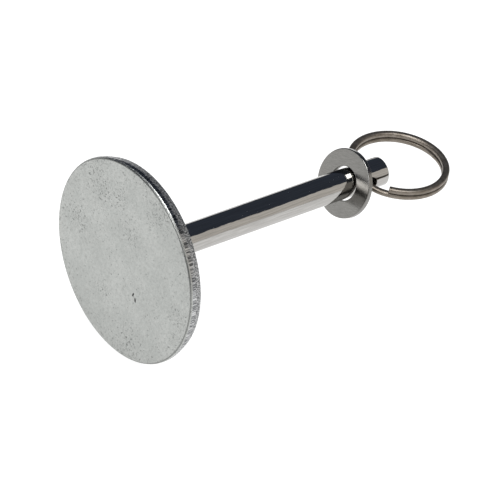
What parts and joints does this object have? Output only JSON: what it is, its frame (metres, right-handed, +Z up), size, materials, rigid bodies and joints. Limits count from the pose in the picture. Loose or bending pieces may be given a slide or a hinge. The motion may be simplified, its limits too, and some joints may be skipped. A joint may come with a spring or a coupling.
{
  "type": "disc head locking pin",
  "caption": "Locking pin with a round disc head, a plain polished shank, a loose washer and a split ring through a cross-hole at the tip.",
  "frame": {"origin": "centre of the head's underside, where the shank leaves it", "axes": "+X along the shank from the head to the tip; the cross-hole runs along Y; +Z up with the pin lying level, as it sits in a level hole"},
  "size_m": [0.1347, 0.07, 0.07],
  "materials": {
    "head_plate": "tumbled bright zinc plate with small pits and fine scratches, sheared rim",
    "polished_shank": "polished bright plate",
    "weld": "plated weld bead with even ripples",
    "washer_steel": "satin plated, finely grained",
    "ring_wire": "bright nickel plated spring wire, slightly warm"
  },
  "bodies": {
    "pin": {"head_disc": "head_plate", "shank": "polished_shank", "weld_bead": "weld"},
    "washer": {"washer": "washer_steel"},
    "ring": {"split_ring": "ring_wire"}
  },
  "joints": [
    {"name": "washer_slide", "type": "slide", "parent": "pin", "child": "washer", "axis": [1, 0, 0], "range_m": [-0.083, 0]},
    {"name": "ring_swing", "type": "hinge", "parent": "pin", "child": "ring", "pos_m": [0.0964, 0, 0], "axis": [0, 1, 0], "range_deg": [-120, 150]}
  ]
}
